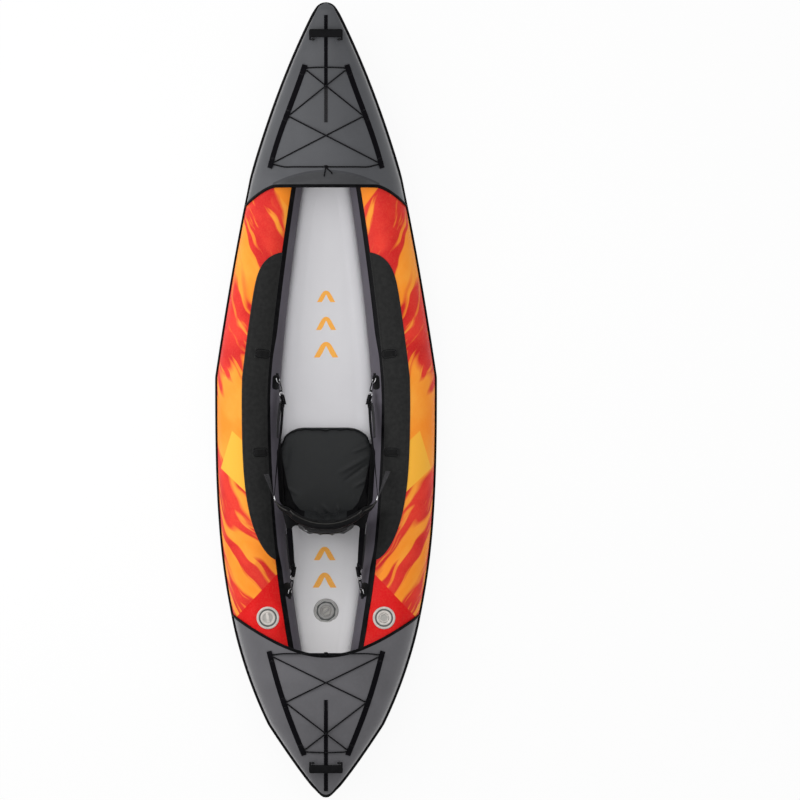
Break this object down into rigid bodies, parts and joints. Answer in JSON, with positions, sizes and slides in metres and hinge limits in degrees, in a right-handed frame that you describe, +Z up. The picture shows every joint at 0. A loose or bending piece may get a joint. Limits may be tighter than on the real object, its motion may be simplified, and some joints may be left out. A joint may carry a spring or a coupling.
{
  "type": "inflatable touring kayak",
  "caption": "Inflatable touring kayak with side chambers, an air floor, fabric decks with bungee rigging, a padded seat on straps, push valves and carry handles.",
  "frame": {"origin": "middle of the hull's length and beam, on the flat of the bottom panel", "axes": "+Y towards the bow, +X to starboard, +Z up"},
  "size_m": [0.9228, 3.3, 0.5003],
  "materials": {
    "deck_fabric": "matt coated grey fabric",
    "hull_fabric": "matt coated dark grey fabric",
    "inner_fabric": "matt dark grey fabric",
    "floor_fabric": "fine woven light grey drop stitch",
    "print_fabric": "satin fabric with an orange and red streaked print",
    "pad_foam": "matt black foam",
    "webbing": "black ribbed webbing",
    "piping": "black bound piping",
    "cord": "black braided elastic cord",
    "seat_fabric": "black padded woven cover",
    "valve_plastic": "light grey moulded plastic",
    "handle_rubber": "black moulded rubber",
    "fin_plastic": "black moulded plastic",
    "zinc": "plated bright metal"
  },
  "bodies": {
    "hull": {"left_air_chamber": "hull_fabric", "right_air_chamber": "hull_fabric", "floor_air_deck": "floor_fabric", "bottom_panel": "hull_fabric", "left_print_panel": "print_fabric", "right_print_panel": "print_fabric", "left_inner_wall": "inner_fabric", "right_inner_wall": "inner_fabric", "left_seam_tape": "webbing", "right_seam_tape": "webbing", "hull_piping": "piping", "bow_deck": "deck_fabric", "stern_deck": "deck_fabric", "left_gunwale_pad": "pad_foam", "right_gunwale_pad": "pad_foam", "bow_spine_strap": "webbing", "stern_spine_strap": "webbing", "bow_bungee_cord": "cord", "stern_bungee_cord": "cord", "seat_base": "seat_fabric", "fin_box": "fin_plastic", "bow_left_deck_webbing": "webbing", "bow_right_deck_webbing": "webbing", "stern_left_deck_webbing": "webbing", "stern_right_deck_webbing": "webbing", "left_front_paddle_keeper": "webbing", "left_front_seat_strap": "webbing", "left_front_snap_hook": "zinc", "left_front_d_ring": "zinc", "left_rear_paddle_keeper": "webbing", "left_rear_seat_strap": "webbing", "left_rear_snap_hook": "zinc", "left_rear_d_ring": "zinc", "right_front_paddle_keeper": "webbing", "right_front_seat_strap": "webbing", "right_front_snap_hook": "zinc", "right_front_d_ring": "zinc", "right_rear_paddle_keeper": "webbing", "right_rear_seat_strap": "webbing", "right_rear_snap_hook": "zinc", "right_rear_d_ring": "zinc", "left_valve_body": "valve_plastic", "right_valve_body": "valve_plastic", "floor_valve_body": "valve_plastic"},
    "bow_handle": {"bow_carry_handle": "handle_rubber"},
    "stern_handle": {"stern_carry_handle": "handle_rubber"},
    "backrest": {"seat_back": "seat_fabric", "seat_pouch": "seat_fabric", "left_strap_buckle": "zinc", "right_strap_buckle": "zinc"},
    "left_cap": {"left_valve_cap": "valve_plastic"},
    "left_plunger": {"left_valve_plunger": "valve_plastic"},
    "right_cap": {"right_valve_cap": "valve_plastic"},
    "right_plunger": {"right_valve_plunger": "valve_plastic"},
    "floor_cap": {"floor_valve_cap": "valve_plastic"},
    "floor_plunger": {"floor_valve_plunger": "valve_plastic"},
    "left_front_gate": {"left_front_hook_gate": "zinc"},
    "left_rear_gate": {"left_rear_hook_gate": "zinc"},
    "right_front_gate": {"right_front_hook_gate": "zinc"},
    "right_rear_gate": {"right_rear_hook_gate": "zinc"}
  },
  "joints": [
    {"name": "bow_handle_lift", "type": "hinge", "parent": "hull", "child": "bow_handle", "pos_m": [0, 1.497, 0.33955], "axis": [1, 0, 0], "range_deg": [0, 150]},
    {"name": "stern_handle_lift", "type": "hinge", "parent": "hull", "child": "stern_handle", "pos_m": [0, -1.507, 0.31034], "axis": [-1, 0, 0], "range_deg": [0, 150]},
    {"name": "backrest_tilt", "type": "hinge", "parent": "hull", "child": "backrest", "pos_m": [0, -0.5, 0.172], "axis": [1, 0, 0], "range_deg": [-30, 20], "deforming": ["left_front_seat_strap", "left_rear_seat_strap", "right_front_seat_strap", "right_rear_seat_strap"]},
    {"name": "left_cap_lift", "type": "slide", "parent": "hull", "child": "left_cap", "axis": [0.0286, 0.0673, 0.9973], "range_m": [0, 0.04]},
    {"name": "left_plunger_press", "type": "slide", "parent": "hull", "child": "left_plunger", "axis": [-0.0286, -0.0673, -0.9973], "range_m": [0, 0.0045], "stiffness_N_per_m": 20, "springref_m": -0.001},
    {"name": "right_cap_lift", "type": "slide", "parent": "hull", "child": "right_cap", "axis": [-0.0286, 0.0673, 0.9973], "range_m": [0, 0.04]},
    {"name": "right_plunger_press", "type": "slide", "parent": "hull", "child": "right_plunger", "axis": [0.0286, -0.0673, -0.9973], "range_m": [0, 0.0045], "stiffness_N_per_m": 20, "springref_m": -0.001},
    {"name": "floor_cap_lift", "type": "slide", "parent": "hull", "child": "floor_cap", "axis": [0, 0, 1], "range_m": [0, 0.04]},
    {"name": "floor_plunger_press", "type": "slide", "parent": "hull", "child": "floor_plunger", "axis": [0, 0, -1], "range_m": [0, 0.0045], "stiffness_N_per_m": 20, "springref_m": -0.001},
    {"name": "left_front_gate_open", "type": "hinge", "parent": "hull", "child": "left_front_gate", "pos_m": [-0.19388, 0.04086, 0.20121], "axis": [0.4981, -0.0372, -0.8664], "range_deg": [0, 16], "stiffness_Nm_per_rad": 0.002, "springref_deg": -8.59},
    {"name": "left_rear_gate_open", "type": "hinge", "parent": "hull", "child": "left_rear_gate", "pos_m": [-0.1474, -0.75464, 0.21764], "axis": [-0.4993, -0.0052, 0.8664], "range_deg": [0, 16], "stiffness_Nm_per_rad": 0.002, "springref_deg": -8.59},
    {"name": "right_front_gate_open", "type": "hinge", "parent": "hull", "child": "right_front_gate", "pos_m": [0.19388, 0.04086, 0.20121], "axis": [0.4981, 0.0372, 0.8664], "range_deg": [0, 16], "stiffness_Nm_per_rad": 0.002, "springref_deg": -8.59},
    {"name": "right_rear_gate_open", "type": "hinge", "parent": "hull", "child": "right_rear_gate", "pos_m": [0.1474, -0.75464, 0.21764], "axis": [-0.4993, 0.0052, -0.8664], "range_deg": [0, 16], "stiffness_Nm_per_rad": 0.002, "springref_deg": -8.59}
  ]
}
